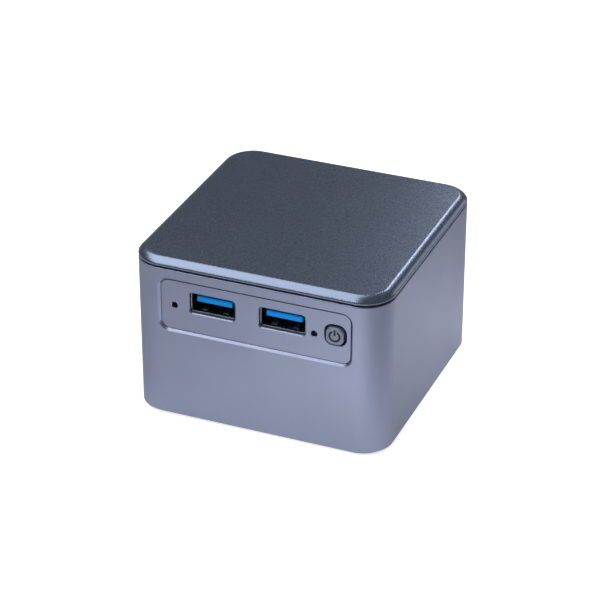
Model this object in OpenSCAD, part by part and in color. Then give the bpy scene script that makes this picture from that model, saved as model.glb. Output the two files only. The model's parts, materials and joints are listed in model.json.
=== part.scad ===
// Palm-size desktop computer: a rounded square housing with a flush top lid,
// front and rear socket plates set into bevelled windows, and a fan cooled
// mainboard inside.
// Millimetres. +X is to the right, +Y to the back and +Z up, and the origin is
// on the surface that the feet stand on, under the middle of the housing.

/* [Housing] */
// Overall width, left to right
body_w = 72; // [70:1:90]
// Overall depth, front to back
body_d = 72; // [70:1:90]
// Height of the shell's side walls
shell_h = 43.9; // [43.3:0.2:54]
// Plan radius of the upright corners
corner_r = 8.5; // [8:0.5:9]
// Thickness of the shell's walls
wall = 1.8; // [1.5:0.1:2.2]
// Radius of the rounding round the shell's top edge
rim_r = 0.3; // [0.2:0.05:0.4]
// Width of the sloping band inside that rounding
rim_slope_w = 0.5; // [0.2:0.05:0.6]

/* [Lid] */
// Height of the lid that shows above the shadow gap
lid_h = 2; // [1.8:0.1:4]
// Height of the straight band at the foot of the lid's side
lid_band_h = 0.5; // [0.3:0.1:0.8]
// Width of the rounded shoulder round the lid's top
lid_shoulder_w = 2.5; // [1.5:0.1:3]
// Thickness of the lid's top
lid_top_t = 1.6; // [1.2:0.1:2]
// Height of the shadow gap between shell and lid
reveal_h = 0.5; // [0.3:0.1:1]
// Depth of the shadow gap, inwards from the lid's side
reveal_in = 1; // [0.8:0.1:1.2]
// How far the lid's neck reaches down into the shell
neck_drop = 1.5; // [1:0.1:1.6]
// Thickness of the lid's neck
neck_t = 1.2; // [1:0.1:1.6]

/* [Socket plates] */
// Width of each plate's window at the housing's face
window_w = 55; // [52:1:55]
// Height of each plate's window at the housing's face
window_h = 15.9; // [14:0.1:17]
// Height of the window's middle above the shell's bottom edge
window_z = 33.3; // [32:0.1:34]
// Corner radius of the window at the housing's face
window_r = 3; // [2:0.1:4]
// Size of the 45 degree bevel round the window
window_bevel = 0.6; // [0.4:0.05:1]
// Thickness of the plate's flange behind the wall
flange_t = 1; // [0.8:0.1:1.4]
// How far the flange laps the wall above the window
flange_up = 1.2; // [0.8:0.1:1.3]
// How far the flange laps the wall below the window
flange_down = 3; // [2.5:0.1:4]
// Radius of the stakes that hold the plates
stake_r = 0.7; // [0.5:0.1:0.9]

/* [Front sockets] */
// Height of the socket's middle above the shell's bottom edge
usb_z = 34.8; // [33.5:0.1:35]
// Distance between the two front sockets
usb_pitch = 19.8; // [18:0.1:21]
// Place of the middle between the two front sockets, from the housing's middle
usb_mid_x = -2.3; // [-3:0.1:0]
// Width of the cut-out for a front socket
usb_cut_w = 13.1; // [12.5:0.1:15]
// Height of the cut-out for a front socket
usb_cut_h = 5.9; // [5.8:0.1:7]
// Clear width inside a front socket
usb_in_w = 12.3; // [11.5:0.1:12.6]
// Clear height inside a front socket
usb_in_h = 5.1; // [4.8:0.1:5.5]
// Thickness of a socket's metal shell
socket_t = 0.3; // [0.2:0.05:0.4]
// Length of a front socket from mouth to back
usb_len = 13.6; // [12:0.1:15]
// Bevel round the openings of the front plate
cut_bevel = 0.25; // [0.1:0.05:0.5]
// Width of the blue tongue
tongue_w = 10.2; // [9:0.1:11.2]
// Thickness of the blue tongue
tongue_t = 1.7; // [1.5:0.1:2.2]

/* [Power button] */
// Place of the power button, from the housing's middle
button_x = 22.55; // [22.5:0.05:23.2]
// Height of the power button above the shell's bottom edge
button_z = 34; // [33.5:0.1:35]
// Width and height of the button's cut-out
button_hole = 5.9; // [5:0.1:6.2]
// Corner radius of the button's cut-out
button_hole_r = 2.2; // [1.8:0.1:2.4]
// Gap round the button
button_gap = 0.45; // [0.2:0.05:0.6]
// How far the button stands out of the plate
button_proud = 0.7; // [0.2:0.05:0.75]
// Travel of the power button
button_travel = 0.5; // [0.3:0.1:0.7]
// Radius of the ring of the power mark
mark_r = 1.4; // [1:0.1:1.6]
// Line width of the power mark
mark_line = 0.5; // [0.2:0.05:0.5]

/* [Pin holes] */
// Radius of the two small holes in the front plate
pinhole_r = 0.85; // [0.6:0.05:1.1]
// Bevel round the two small holes
pinhole_bevel = 0.15; // [0.05:0.05:0.3]
// Height of the small holes above the shell's bottom edge
pinhole_z = 33.2; // [32.8:0.1:34]
// Place of the hole in front of the reset switch
reset_x = -23; // [-23:0.1:-21]
// Place of the hole in front of the status light
light_x = 16.6; // [16.5:0.1:18]
// Travel of the reset switch
reset_travel = 0.4; // [0.3:0.1:0.6]

/* [Bottom] */
// How far the feet stand out of the bottom cover
foot_h = 0.8; // [0.5:0.1:2]
// Radius of a foot
foot_r = 4; // [3:0.1:4.5]
// Height of the cover's lip below the shell
lip_h = 0.6; // [0.4:0.1:1]
// How far the cover's lip is set in from the shell's face
lip_in = 0.8; // [0.5:0.1:1.2]
// Thickness of the cover inside the shell
cover_t = 1.4; // [1.2:0.1:2]
// Radius of the round field of intake slots
intake_r = 19; // [15:0.5:19]
// Width of an intake slot
slot_w = 1.6; // [1:0.1:2]
// Distance between the two threaded holes for a bracket
bracket_pitch = 52; // [50:1:56]
// Radius of a threaded hole for a bracket
bracket_hole_r = 1.25; // [1:0.05:1.5]
// Depth of a threaded hole for a bracket
bracket_hole_len = 5; // [4:0.5:6]

/* [Board] */
// Thickness of the mainboard
board_t = 1.2; // [1:0.1:1.6]
// Gap between the mainboard and the shell
board_gap = 0.9; // [0.5:0.1:1.5]
// Radius of a corner post
post_r = 3.2; // [2.8:0.1:3.4]
// Distance of a post's middle from the housing's faces
post_in = 5.8; // [5.4:0.1:6]

/* [Cooling] */
// Height of the processor below the mainboard
cpu_h = 1.6; // [1.2:0.1:2]
// Width of the processor
cpu_w = 25; // [20:1:27]
// Depth of the processor
cpu_d = 24; // [20:1:27]
// Thickness of the thermal pad
pad_t = 0.5; // [0.3:0.1:1]
// Thickness of the heatsink's base
sink_base_t = 3; // [2:0.1:4]
// Height of the heatsink's fins
fin_h = 14; // [10:0.5:15]
// Thickness of a fin
fin_t = 0.8; // [0.6:0.1:1]
// Distance from fin to fin
fin_pitch = 2.6; // [2:0.1:3.5]
// Distance between the heatsink's screws along one side
sink_screw_pitch = 34.8; // [34:0.2:36]
// Width of the fan and of the heatsink's fins
fan_w = 40; // [33:1:48]
// Thickness of the fan
fan_t = 8; // [7:0.5:9]
// Distance of a fan screw's middle from the fan's edges
fan_screw_in = 4; // [3.5:0.1:4.5]
// Radius of the fan's hub
hub_r = 9; // [8:0.5:10]
// Number of fan blades
blade_count = 9; // [5:1:11]
// Radius of the fan's shaft
shaft_r = 1; // [0.8:0.1:1.2]

/* [Rear sockets] */
// Place of the power inlet, from the housing's middle
inlet_x = -20.5; // [-21:0.1:-20]
// Radius of the power inlet's bore
inlet_r = 2.8; // [2.6:0.05:3]
// Place of the first video socket
video_x1 = -6.5; // [-7:0.1:-6]
// Place of the second video socket
video_x2 = 10.5; // [10:0.1:11]
// Outer width of a video socket
video_w = 15; // [14:0.1:15.4]
// Outer height of a video socket
video_h = 5.6; // [5.2:0.1:6]
// Place of the sound socket
sound_x = 22.5; // [22:0.1:23]
// Radius of the sound socket's bore
sound_r = 1.8; // [1.6:0.05:2]

/* [Fasteners] */
// Radius of a bottom screw's thread
screw_r = 1.2; // [1:0.1:1.3]
// Radius of a bottom screw's head
head_r = 2.2; // [1.8:0.1:2.4]
// Radius of the small screws inside
small_screw_r = 0.8; // [0.7:0.05:0.9]
// Radius of a small screw's head
small_head_r = 1.6; // [1.4:0.1:1.8]

/* [Fits] */
// Gap between pieces that are put together once
fit_gap = 0.15; // [0.1:0.05:0.2]
// Gap between a shaft or plunger and its bore
run_gap = 0.05; // [0.03:0.01:0.08]

/* [Hidden] */
$fn = 48;
over = 1;                                   // how far a cut runs past a face

// Levels, upwards from the surface that the feet stand on
shell_z = foot_h + lip_h;
shell_top = shell_z + shell_h;
lid_z = shell_top + reveal_h;
lid_top = lid_z + lid_h;
lid_under = lid_top - lid_top_t;
cover_top = shell_z + cover_t;
usb_mid = shell_z + usb_z;
usb_out_h = usb_in_h + 2 * socket_t;
usb_out_w = usb_in_w + 2 * socket_t;
board_top = usb_mid - usb_out_h / 2;
board_z = board_top - board_t;
cpu_z = board_z - cpu_h;
sink_top = cpu_z - pad_t;
fin_top = sink_top - sink_base_t;
fan_top = fin_top - fin_h;
fan_z = fan_top - fan_t;
window_mid = shell_z + window_z;

// Half sizes inside the shell
in_x = body_w / 2 - wall;
in_y = body_d / 2 - wall;
in_r = corner_r - wall;
post_x = body_w / 2 - post_in;
post_y = body_d / 2 - post_in;
board_x = in_x - board_gap;
board_y = in_y - board_gap;

// Faces of a socket plate, measured inwards from the housing's face
plate_face = window_bevel;
plate_back = wall + flange_t;
mouth_in = 1;                               // from a plate's face to the sockets' mouths
socket_face = plate_face + mouth_in;
plate_w = window_w - 2 * window_bevel - 2 * fit_gap;
plate_h = window_h - 2 * window_bevel - 2 * fit_gap;
plate_r = window_r - window_bevel - fit_gap;
stake_z = window_mid - window_h / 2 + window_bevel - flange_down / 2;
stake_pitch = 22;
stake_head_t = 0.5;
stake_head_lap = 0.5;

// Power button and switches
button_w = button_hole - 2 * button_gap;
button_r = button_hole_r - button_gap;
button_mid = shell_z + button_z;
button_lap = 0.35;                          // how far the button's flange laps its hole
button_flange_t = 0.8;
button_flange_h = 4;
switch_w = 5.6;
switch_d = 3.2;
plunger_r = 1;
plunger_stand = 1.2;
flange_run = 0.8;                           // free space behind the button's flange
pinhole_mid = shell_z + pinhole_z;
switch_face = plate_back + button_flange_t + flange_run + plunger_stand;

// Heatsink and fan
sink_foot = 5;                              // side of a heatsink corner column
sink_screw = sink_screw_pitch / 2;
sink_screw_in = 2.6;
sink_w = max(fan_w, sink_screw_pitch + 2 * sink_screw_in);
sink_thread_len = 4;
fan_screw = fan_w / 2 - fan_screw_in;
fan_rim_t = 1.4;
fan_bore_r = fan_w / 2 - fan_rim_t;
fan_tip_gap = 0.6;
fan_plate_t = 1.2;
bush_wall = 0.9;
rotor_cap_t = 1;
rotor_skirt_t = 0.8;
magnet_t = 1;
rotor_gap = 0.4;                            // axial gap at both ends of the rotor
blade_t = 0.7;
blade_chord = 12;
blade_inset = 0.2;
blade_pitch_deg = 38;

// Solid-state drive
ssd_l = 42;
ssd_w = 22;
ssd_t = 0.8;
ssd_lift = 3.2;
ssd_x = -18;                                // socket end of the card

slot_end = 0.05;                            // half the flat left at a slot's round end

// A rounded rectangle and a slab of that plan
module rounded_plan(w, d, r) {
    square([w - 2 * r, d], center = true);
    square([w, d - 2 * r], center = true);
    for (sx = [-1, 1], sy = [-1, 1])
        translate([sx * (w / 2 - r), sy * (d / 2 - r)])
            circle(r);
}

module slab(w, d, r, h) {
    linear_extrude(h)
        rounded_plan(w, d, r);
}

// A slab of that plan whose side follows edge, a list of [inset, height]
function section(half, edge) = concat(
    [for (p = edge) [half - p[0], p[1]]],
    [for (i = [len(edge) - 1 : -1 : 0]) [edge[i][0] - half, edge[i][1]]]);

function half_section(r, edge) = concat(
    [[0, edge[0][1]]],
    [for (p = edge) [r - p[0], p[1]]],
    [[0, edge[len(edge) - 1][1]]]);

module profiled_slab(w, d, r, edge) {
    x = w / 2 - r;
    y = d / 2 - r;
    rotate([90, 0, 0])
        translate([0, 0, -y])
            linear_extrude(2 * y)
                polygon(section(w / 2, edge));
    rotate([90, 0, 90])
        translate([0, 0, -x])
            linear_extrude(2 * x)
                polygon(section(d / 2, edge));
    for (sx = [-1, 1], sy = [-1, 1])
        translate([sx * x, sy * y, 0])
            rotate_extrude()
                polygon(half_section(r, edge));
}

module tapered_slab(w, d, r, inset, h) {
    profiled_slab(w, d, r, [[0, 0], [inset, h]]);
}

// Puts its children at the four corners of a rectangle
module at_corners(x, y) {
    for (sx = [-1, 1], sy = [-1, 1])
        translate([sx * x, sy * y, 0])
            children();
}

// Stands a slab's plan upright: local +Z then points out of the front face,
// and local z = 0 lies on that face
module on_front(x, z) {
    translate([x, -body_d / 2, z])
        rotate([90, 0, 0])
            children();
}

module on_back(x, z) {
    translate([x, body_d / 2, z])
        rotate([90, 0, 180])
            children();
}

// Housing

module window_cut() {
    translate([0, 0, -window_bevel])
        mirror([0, 0, 1])
            slab(window_w - 2 * window_bevel, window_h - 2 * window_bevel, window_r - window_bevel,
                 wall + over);
    translate([0, 0, over])
        mirror([0, 0, 1])
            tapered_slab(window_w + 2 * over, window_h + 2 * over, window_r + over,
                         window_bevel + over, window_bevel + over);
}

module plate_stakes() {
    for (sx = [-1, 1])
        translate([sx * stake_pitch, stake_z - window_mid, -wall]) {
            mirror([0, 0, 1])
                cylinder(r = stake_r, h = flange_t + stake_head_t);
            translate([0, 0, -flange_t - stake_head_t])
                cylinder(r = stake_r + stake_head_lap, h = stake_head_t);
        }
}

module corner_post() {
    foot = cover_top + fit_gap;
    translate([0, 0, foot])
        cylinder(r = post_r, h = board_z - foot);
}

insert_wall = 0.6;
insert_r = screw_r + insert_wall;
insert_len = 5;
thread_gap = 0.2;
thread_run = 4;                             // bore past the insert's end
post_hole_len = 7;

module post_bores() {
    foot = cover_top + fit_gap;
    translate([0, 0, foot - over])
        cylinder(r = insert_r, h = insert_len + over);
    translate([0, 0, foot])
        cylinder(r = screw_r + thread_gap, h = insert_len + thread_run);
    translate([0, 0, board_z - post_hole_len])
        cylinder(r = small_screw_r, h = post_hole_len + over);
}

// Pockets in the side walls for the lid's hooks
hook_w = 6;
hook_t = 1.1;
hook_drop = 4.5;
hook_bump = 0.5;
hook_bump_h = 1;
hook_root = 0.2;                            // how far a bump reaches into its hook
hook_pitch = 20;

module hook_pockets() {
    pocket_h = hook_bump_h + 2 * fit_gap;
    for (sx = [-1, 1], sy = [-1, 1])
        translate([sx * (in_x + hook_bump / 2), sy * hook_pitch / 2,
                   shell_top - hook_drop + hook_bump_h / 2])
            cube([hook_bump + 2 * fit_gap, hook_w + 2 * fit_gap, pocket_h], center = true);
}

// Exhaust slots low in the back wall
exhaust_count = 13;
exhaust_pitch = 3.4;
exhaust_w = 1.7;
exhaust_h = 12;
exhaust_up = 14;
exhaust_mid = shell_z + exhaust_up;

module exhaust_slots() {
    first = -(exhaust_count - 1) / 2;
    for (i = [0 : exhaust_count - 1])
        on_back((first + i) * exhaust_pitch, exhaust_mid)
            translate([0, 0, -wall - over])
                slab(exhaust_w, exhaust_h, exhaust_w / 2 - slot_end, wall + 2 * over);
}

// The shell's top edge: a rounding that runs out into a gentle slope
rim_steps = 4;
rim_slope_deg = 11;
rim_arc_deg = 90 - rim_slope_deg;
rim_arc = [for (i = [0 : rim_steps])
    [rim_r * (1 - cos(rim_arc_deg * i / rim_steps)), rim_r * sin(rim_arc_deg * i / rim_steps)]];
rim_end = rim_arc[rim_steps] + rim_slope_w * [1, tan(rim_slope_deg)];
rim_edge = concat(rim_arc, [rim_end]);
rim_h = rim_end[1];

module outer_shell() {
    color([0.51, 0.54, 0.61]) {
        difference() {
            union() {
                translate([0, 0, shell_z])
                    slab(body_w, body_d, corner_r, shell_h - rim_h);
                translate([0, 0, shell_top - rim_h])
                    profiled_slab(body_w, body_d, corner_r, rim_edge);
            }
            difference() {
                translate([0, 0, shell_z - over])
                    slab(2 * in_x, 2 * in_y, in_r, shell_h + 2 * over);
                at_corners(post_x, post_y)
                    corner_post();
            }
            at_corners(post_x, post_y)
                post_bores();
            on_front(0, window_mid)
                window_cut();
            on_back(0, window_mid)
                window_cut();
            hook_pockets();
            exhaust_slots();
        }
        on_front(0, window_mid)
            plate_stakes();
        on_back(0, window_mid)
            plate_stakes();
    }
}

// Lid: a slab whose shoulder follows one arc, over a set-back spacer and a
// neck that fits inside the shell
shoulder_steps = 6;
shoulder_top_deg = 14;
shoulder_foot_deg = 70;

function shoulder_point(i) =
    let (a = shoulder_top_deg, b = shoulder_foot_deg, t = b + (a - b) * i / shoulder_steps)
    [lid_shoulder_w * (sin(b) - sin(t)) / (sin(b) - sin(a)),
     lid_band_h + (lid_h - lid_band_h) * (cos(t) - cos(b)) / (cos(a) - cos(b))];

lid_edge = concat([[0, 0]], [for (i = [0 : shoulder_steps]) shoulder_point(i)]);

module lid_neck() {
    neck_x = in_x - fit_gap;
    neck_y = in_y - fit_gap;
    neck_r = in_r - fit_gap;
    difference() {
        union() {
            translate([0, 0, shell_top])
                slab(body_w - 2 * reveal_in, body_d - 2 * reveal_in, corner_r - reveal_in, reveal_h);
            translate([0, 0, shell_top - neck_drop])
                slab(2 * neck_x, 2 * neck_y, neck_r, neck_drop);
        }
        translate([0, 0, shell_top - neck_drop - over])
            slab(2 * (neck_x - neck_t), 2 * (neck_y - neck_t), neck_r - neck_t,
                 neck_drop + reveal_h + over);
    }
}

module lid_hooks() {
    inner = in_x - fit_gap;
    for (sx = [-1, 1], sy = [-1, 1]) {
        translate([sx * (inner - hook_t / 2), sy * hook_pitch / 2, shell_top - hook_drop / 2])
            cube([hook_t, hook_w, hook_drop], center = true);
        translate([sx * (inner + hook_bump / 2 - hook_root), sy * hook_pitch / 2,
                   shell_top - hook_drop + hook_bump_h / 2])
            cube([hook_bump + 2 * hook_root, hook_w, hook_bump_h], center = true);
    }
}

module top_lid() {
    hollow = lid_under - lid_z;
    color([0.27, 0.30, 0.35]) {
        difference() {
            translate([0, 0, lid_z])
                profiled_slab(body_w, body_d, corner_r, lid_edge);
            translate([0, 0, lid_z - over])
                slab(2 * (in_x - fit_gap - neck_t), 2 * (in_y - fit_gap - neck_t),
                     in_r - fit_gap - neck_t, hollow + over);
        }
        lid_neck();
        lid_hooks();
    }
}

// Bottom cover with its intake slots, screw seats and bracket bosses
head_t = 0.9;
bracket_boss_r = 3.2;
bracket_roof_t = 1.2;
boss_fan_gap = 0.4;
foot_in_x = 14.5;
foot_in_y = 7.5;
foot_x = body_w / 2 - foot_in_x;
foot_y = body_d / 2 - foot_in_y;
foot_sink = 0.5;
slot_pitch = 3.2;
slot_count = 11;

module intake_slots() {
    first = -(slot_count - 1) / 2;
    for (i = [0 : slot_count - 1]) {
        x = (first + i) * slot_pitch;
        half = sqrt(intake_r * intake_r - x * x);
        translate([x, 0, foot_h - over])
            slab(slot_w, 2 * half, slot_w / 2 - slot_end, lip_h + cover_t + 2 * over);
    }
}

module bottom_cover() {
    boss_top = foot_h + bracket_hole_len + bracket_roof_t;
    color([0.16, 0.17, 0.19])
        difference() {
            union() {
                translate([0, 0, foot_h])
                    slab(body_w - 2 * lip_in, body_d - 2 * lip_in, corner_r - lip_in, lip_h);
                translate([0, 0, shell_z])
                    slab(2 * (in_x - fit_gap), 2 * (in_y - fit_gap), in_r - fit_gap, cover_t);
                difference() {
                    for (sx = [-1, 1])
                        translate([sx * bracket_pitch / 2, 0, foot_h + lip_h / 2])
                            cylinder(r = bracket_boss_r, h = boss_top - foot_h - lip_h / 2);
                    translate([-fan_w / 2 - boss_fan_gap, -fan_w / 2, cover_top])
                        cube([fan_w + 2 * boss_fan_gap, fan_w, fan_t]);
                }
            }
            intake_slots();
            for (sx = [-1, 1])
                translate([sx * bracket_pitch / 2, 0, foot_h - over])
                    cylinder(r = bracket_hole_r, h = bracket_hole_len + over);
            at_corners(post_x, post_y)
                translate([0, 0, foot_h - over]) {
                    cylinder(r = screw_r + fit_gap, h = lip_h + cover_t + 2 * over);
                    cylinder(r = head_r + fit_gap, h = head_t + over);
                }
            at_corners(foot_x, foot_y)
                translate([0, 0, foot_h - over])
                    cylinder(r = foot_r + fit_gap, h = foot_sink + over);
        }
}

module rubber_feet() {
    round_h = 0.3;
    color([0.07, 0.07, 0.08])
        at_corners(foot_x, foot_y) {
            cylinder(r1 = foot_r - round_h, r2 = foot_r, h = round_h);
            translate([0, 0, round_h])
                cylinder(r = foot_r, h = foot_h + foot_sink - round_h);
        }
}

// A screw whose head's seat is at z = 0 and whose thread runs up from there.
// Its cross recess is given in shares of the head
cross_reach = 0.5;
cross_w = 0.28;
cross_depth = 0.6;
bottom_head_t = 0.75;
small_head_t = 0.7;
thread_slack = 0.05;                        // a small screw's thread under its bore's radius

module screw(thread_r, thread_len, cap_r, cap_t) {
    reach = cap_r * cross_reach;
    bar_w = cap_r * cross_w;
    difference() {
        union() {
            translate([0, 0, -cap_t])
                cylinder(r = cap_r, h = cap_t);
            cylinder(r = thread_r, h = thread_len);
        }
        for (turn = [0, 90])
            rotate([0, 0, turn])
                translate([-reach, -bar_w / 2, -cap_t - over])
                    cube([2 * reach, bar_w, cap_t * cross_depth + over]);
    }
}

module bottom_screws() {
    color([0.10, 0.10, 0.11])
        at_corners(post_x, post_y)
            translate([0, 0, foot_h + head_t])
                screw(screw_r, cover_top + fit_gap + insert_len - foot_h - head_t, head_r,
                      bottom_head_t);
}

module threaded_inserts() {
    color([0.78, 0.62, 0.30])
        at_corners(post_x, post_y)
            translate([0, 0, cover_top + fit_gap])
                difference() {
                    cylinder(r = insert_r, h = insert_len);
                    translate([0, 0, -over])
                        cylinder(r = screw_r, h = insert_len + 2 * over);
                }
}

// Socket plates

module plate_blank() {
    mirror([0, 0, 1]) {
        translate([0, 0, plate_face])
            slab(plate_w, plate_h, plate_r, wall - plate_face + flange_t / 2);
        translate([-plate_w / 2, -plate_h / 2 - flange_down, wall])
            cube([plate_w, plate_h + flange_down + flange_up, flange_t]);
    }
}

module plate_stake_holes() {
    for (sx = [-1, 1])
        translate([sx * stake_pitch, stake_z - window_mid, -plate_back - over])
            cylinder(r = stake_r + run_gap, h = flange_t + 2 * over);
}

// An opening, and a round one, with a bevel at the plate's face
module plate_cut(x, z, w, h, r, bevel) {
    edge = bevel + over;
    translate([x, z - window_mid, -plate_back - over])
        slab(w, h, r, plate_back + over);
    translate([x, z - window_mid, over - plate_face])
        mirror([0, 0, 1])
            tapered_slab(w + 2 * edge, h + 2 * edge, r + edge, edge, edge);
}

module plate_bore(x, z, r, bevel) {
    edge = bevel + over;
    translate([x, z - window_mid, -plate_back - over])
        cylinder(r = r, h = plate_back + over);
    translate([x, z - window_mid, over - plate_face - edge])
        cylinder(r1 = r, r2 = r + edge, h = edge);
}

usb_cut_r = 1;

module front_io_plate() {
    color([0.50, 0.53, 0.60])
        on_front(0, window_mid)
            difference() {
                plate_blank();
                plate_stake_holes();
                for (side = [-1, 1])
                    plate_cut(usb_mid_x + side * usb_pitch / 2, usb_mid, usb_cut_w, usb_cut_h,
                              usb_cut_r, cut_bevel);
                plate_cut(button_x, button_mid, button_hole, button_hole, button_hole_r, cut_bevel);
                plate_bore(reset_x, pinhole_mid, pinhole_r, pinhole_bevel);
                plate_bore(light_x, pinhole_mid, pinhole_r, pinhole_bevel);
            }
}

// Rear sockets
inlet_w = 8.6;
inlet_h = 8.2;
inlet_len = 12;
inlet_mid = board_top + inlet_h / 2;
inlet_pin_r = 1.25;
inlet_nose_t = 0.5;
inlet_back_t = 2;
inlet_nose_gap = 0.1;
pin_set_back = 1.5;
nose_root = 1;                              // how far a round nose reaches into its socket
video_mid = board_top + video_h / 2;
video_len = 11.5;
video_r = 0.8;
video_cut_r = 1.2;
video_tongue_w = 11;
video_tongue_t = 1.4;
video_tongue_drop = 0.1;
video_set_back = 1;
video_block_len = 3.5;
video_block_in = 1;
sound_w = 6;
sound_h = 5;
sound_len = 14.5;
sound_mid = board_top + sound_h / 2;
sound_bore_len = 14;
sound_nose_r = 2.4;
rear_cut_gap = 0.3;
rear_bevel = 0.2;

module rear_io_plate() {
    color([0.20, 0.21, 0.24])
        on_back(0, window_mid)
            difference() {
                plate_blank();
                plate_stake_holes();
                plate_bore(-inlet_x, inlet_mid, inlet_r + inlet_nose_t + inlet_nose_gap, rear_bevel);
                for (x = [video_x1, video_x2])
                    plate_cut(-x, video_mid, video_w + 2 * rear_cut_gap, video_h + 2 * rear_cut_gap,
                              video_cut_r, rear_bevel);
                plate_bore(-sound_x, sound_mid, sound_nose_r + rear_cut_gap, rear_bevel);
            }
}

// Sockets. A socket's shell is a tube with a closed back; local z = 0 is the
// mouth and the tube runs away from the viewer
module socket_shell(in_w, in_h, r, len, t) {
    mirror([0, 0, 1])
        difference() {
            slab(in_w + 2 * t, in_h + 2 * t, r + t, len);
            translate([0, 0, -over])
                slab(in_w, in_h, r, len - t + over);
        }
}

module usb_shell(x) {
    color([0.72, 0.73, 0.75])
        on_front(x, usb_mid)
            translate([0, 0, -socket_face])
                socket_shell(usb_in_w, usb_in_h, socket_corner_r, usb_len, socket_t);
}

socket_corner_r = 0.4;                      // inner corner radius of a front socket
block_corner_gap = 0.1;                     // its rear block's corners are rounder by this
usb_block_len = 4;
tongue_set_back = 0.7;
tongue_drop = 1;
contact_count = 5;
contact_pitch = 1.9;
contact_w = 0.6;
contact_t = 0.2;
contact_set_back = 1.5;

module usb_tongue(x) {
    in_len = usb_len - socket_t;
    color([0.05, 0.50, 0.92])
        on_front(x, usb_mid)
            translate([0, 0, -socket_face]) {
                translate([-tongue_w / 2, usb_in_h / 2 - tongue_drop - tongue_t, -in_len])
                    cube([tongue_w, tongue_t, in_len - tongue_set_back]);
                translate([0, 0, -in_len])
                    slab(usb_in_w, usb_in_h, socket_corner_r + block_corner_gap, usb_block_len);
            }
}

module usb_contacts(x) {
    in_len = usb_len - socket_t;
    first = -(contact_count - 1) / 2;
    color([0.85, 0.68, 0.32])
        on_front(x, usb_mid)
            for (i = [0 : contact_count - 1])
                translate([(first + i) * contact_pitch - contact_w / 2,
                           usb_in_h / 2 - tongue_drop - tongue_t - contact_t,
                           -socket_face - in_len + usb_block_len])
                    cube([contact_w, contact_t,
                          in_len - usb_block_len - tongue_set_back - contact_set_back]);
}

module usb_shell_left() {
    usb_shell(usb_mid_x - usb_pitch / 2);
}

module usb_shell_right() {
    usb_shell(usb_mid_x + usb_pitch / 2);
}

module usb_tongue_left() {
    usb_tongue(usb_mid_x - usb_pitch / 2);
}

module usb_tongue_right() {
    usb_tongue(usb_mid_x + usb_pitch / 2);
}

module usb_contacts_left() {
    usb_contacts(usb_mid_x - usb_pitch / 2);
}

module usb_contacts_right() {
    usb_contacts(usb_mid_x + usb_pitch / 2);
}

// Power button with its inlaid mark, and the two switches behind the plate
mark_depth = 0.2;
stem_r = 1.2;
button_bevel = 0.3;
mark_bar_h = 1.7;
mark_bar_up = 0.2;
mark_opening = 1.3;

module power_mark_solid(extra) {
    difference() {
        cylinder(r = mark_r + mark_line / 2, h = mark_depth + extra);
        translate([0, 0, -over])
            cylinder(r = mark_r - mark_line / 2, h = mark_depth + extra + 2 * over);
        translate([-mark_opening / 2, 0, -over])
            cube([mark_opening, mark_r * 2, mark_depth + extra + 2 * over]);
    }
    translate([-mark_line / 2, mark_r + mark_line / 2 + mark_bar_up - mark_bar_h, 0])
        cube([mark_line, mark_bar_h, mark_depth + extra]);
}

module power_button() {
    face = button_proud - plate_face;
    flange_w = button_hole + 2 * button_lap;
    stem_end = -switch_face + plunger_stand;
    color([0.42, 0.45, 0.50])
        on_front(button_x, button_mid)
            difference() {
                union() {
                    translate([0, 0, -plate_back])
                        slab(button_w, button_w, button_r, face + plate_back - button_bevel);
                    translate([0, 0, face - button_bevel])
                        tapered_slab(button_w, button_w, button_r, button_bevel, button_bevel);
                    translate([-flange_w / 2, -button_flange_h / 2, -plate_back - button_flange_t])
                        cube([flange_w, button_flange_h, button_flange_t]);
                    translate([0, 0, stem_end])
                        cylinder(r = stem_r, h = -plate_back - stem_end);
                }
                translate([0, 0, face - mark_depth])
                    power_mark_solid(over);
            }
}

module power_mark() {
    color([0.10, 0.11, 0.14])
        on_front(button_x, button_mid)
            translate([0, 0, button_proud - plate_face - mark_depth])
                power_mark_solid(0);
}

module switch_body(x, z, travel) {
    bore_len = plunger_stand + travel;
    half_h = z - board_top;
    color([0.12, 0.12, 0.13])
        on_front(x, z)
            translate([0, 0, -switch_face])
                difference() {
                    translate([-switch_w / 2, -half_h, -switch_d])
                        cube([switch_w, 2 * half_h, switch_d]);
                    translate([0, 0, -bore_len])
                        cylinder(r = plunger_r + run_gap, h = bore_len + over);
                }
}

module switch_plunger(x, z) {
    color([0.80, 0.78, 0.72])
        on_front(x, z)
            translate([0, 0, -switch_face - plunger_stand + run_gap])
                cylinder(r = plunger_r, h = 2 * plunger_stand - run_gap);
}

module power_switch_body() {
    switch_body(button_x, button_mid, button_travel);
}

module power_switch_plunger() {
    switch_plunger(button_x, button_mid);
}

module reset_switch_body() {
    switch_body(reset_x, pinhole_mid, reset_travel);
}

module reset_switch_plunger() {
    switch_plunger(reset_x, pinhole_mid);
}

// Status light: a lamp on the board and a clear pin behind the right hole
led_d = 1.6;
led_w = 2.4;
pipe_set_back = 1;
pipe_r = pinhole_r - fit_gap;

module status_led() {
    half_h = pinhole_mid - board_top;
    color([0.86, 0.88, 0.82])
        on_front(light_x, pinhole_mid)
            translate([-led_w / 2, -half_h, -switch_face - led_d])
                cube([led_w, 2 * half_h, led_d]);
}

module light_pipe() {
    collar_t = 0.8;
    start = plate_face + pipe_set_back;
    color([0.70, 0.74, 0.78])
        on_front(light_x, pinhole_mid) {
            translate([0, 0, -switch_face])
                cylinder(r = pipe_r, h = switch_face - start);
            translate([0, 0, -plate_back - collar_t])
                cylinder(r = pipe_r + 0.5, h = collar_t);
        }
}

// Mainboard and what stands on it
front_edge_gap = 0.3;

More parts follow.
